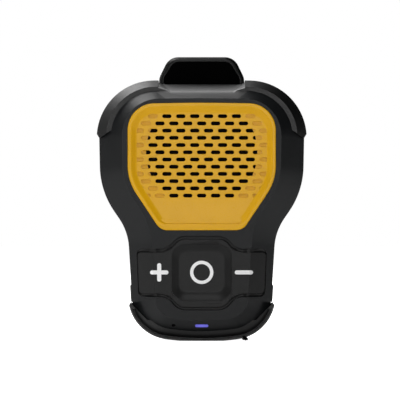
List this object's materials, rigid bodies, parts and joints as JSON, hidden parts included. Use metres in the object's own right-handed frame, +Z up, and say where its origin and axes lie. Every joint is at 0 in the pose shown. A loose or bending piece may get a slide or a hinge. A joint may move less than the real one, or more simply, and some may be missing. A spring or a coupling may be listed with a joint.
{
  "type": "wearable bluetooth speaker",
  "caption": "Clip-on loudspeaker with a slotted yellow grille, soft bumpers, a sealed rubber keypad and a sprung clip on its back.",
  "frame": {"origin": "middle of the flat foot under the bottom bumper", "axes": "+Z up, the grille faces -Y, the clip is at +Y, +X to the right seen from the front"},
  "size_m": [0.0838, 0.0401, 0.1143],
  "materials": {
    "shell_plastic": "fine-textured moulded ABS/PC",
    "bumper_rubber": "satin overmoulded TPE",
    "grille_plastic": "fine-textured moulded ABS, yellow",
    "grip_rubber": "light grey TPE",
    "keypad_rubber": "matte silicone rubber",
    "clip_plastic": "satin glass-filled nylon, black",
    "cloth_black": "acoustic mesh",
    "steel": "plated steel",
    "steel_black": "black e-coated steel",
    "ferrite": "sintered magnet",
    "copper": "enamelled copper wire",
    "paper": "coated paper cone",
    "surround_rubber": "butyl rubber roll",
    "spider_cloth": "resin-dipped cotton",
    "foam": "closed-cell foam",
    "board_green": "solder mask on glass-fibre board",
    "component_black": "moulded component bodies",
    "battery_foil": "laminate pouch",
    "seal_rubber": "silicone",
    "lens": "diffusing polycarbonate",
    "lead_insulation": "silicone insulation"
  },
  "bodies": {
    "housing": {"battery": "battery_foil", "battery_leads": "lead_insulation", "battery_pad": "foam", "board_header": "component_black", "board_parts": "component_black", "board_screws": "steel", "bottom_bumper": "bumper_rubber", "clip_pin": "steel", "clip_spring": "steel", "driver_frame": "steel_black", "driver_gasket": "foam", "driver_screws": "steel", "front_shell": "shell_plastic", "grille": "grille_plastic", "grille_cloth": "cloth_black", "housing_screws": "steel", "housing_seal": "seal_rubber", "key_board": "board_green", "keypad_membrane": "keypad_rubber", "lead_plugs": "component_black", "light_pipe": "lens", "magnet": "ferrite", "main_board": "board_green", "microphone": "steel", "microphone_boot": "foam", "rear_shell": "shell_plastic", "shield_can": "steel", "side_grips": "grip_rubber", "speaker_leads": "lead_insulation", "spider": "spider_cloth", "status_light": "lens", "surround": "surround_rubber", "tact_switches": "component_black", "top_bumper": "bumper_rubber", "top_plate": "steel", "usb_socket": "steel", "yoke": "steel"},
    "clip": {"clip_lever": "clip_plastic", "clip_magnet": "steel", "clip_pad": "keypad_rubber"},
    "plus_button": {"plus_key": "keypad_rubber"},
    "power_button": {"power_key": "keypad_rubber"},
    "minus_button": {"minus_key": "keypad_rubber"},
    "charging_flap": {"usb_flap": "bumper_rubber"},
    "diaphragm": {"cone": "paper", "dust_cap": "paper", "voice_coil": "copper"}
  },
  "joints": [
    {"name": "clip_open", "type": "hinge", "parent": "housing", "child": "clip", "pos_m": [0, 0.0155, 0.088], "axis": [1, 0, 0], "range_deg": [0, 18], "stiffness_Nm_per_rad": 0.16, "springref_deg": -28.65, "deforming": ["clip_spring"]},
    {"name": "plus_press", "type": "slide", "parent": "housing", "child": "plus_button", "axis": [0, 1, 0], "range_m": [0, 0.0005], "stiffness_N_per_m": 2400, "springref_m": -0.0001, "deforming": ["keypad_membrane"]},
    {"name": "power_press", "type": "slide", "parent": "housing", "child": "power_button", "axis": [0, 1, 0], "range_m": [0, 0.0005], "stiffness_N_per_m": 2400, "springref_m": -0.0001, "deforming": ["keypad_membrane"]},
    {"name": "minus_press", "type": "slide", "parent": "housing", "child": "minus_button", "axis": [0, 1, 0], "range_m": [0, 0.0005], "stiffness_N_per_m": 2400, "springref_m": -0.0001, "deforming": ["keypad_membrane"]},
    {"name": "flap_open", "type": "hinge", "parent": "housing", "child": "charging_flap", "pos_m": [-0.004, -0.00483, 0.00005], "axis": [0, 1, 0], "range_deg": [0, 100]},
    {"name": "cone_excursion", "type": "slide", "parent": "housing", "child": "diaphragm", "axis": [0, -1, 0], "range_m": [-0.001, 0.001], "stiffness_N_per_m": 1500, "deforming": ["surround", "spider"]}
  ]
}
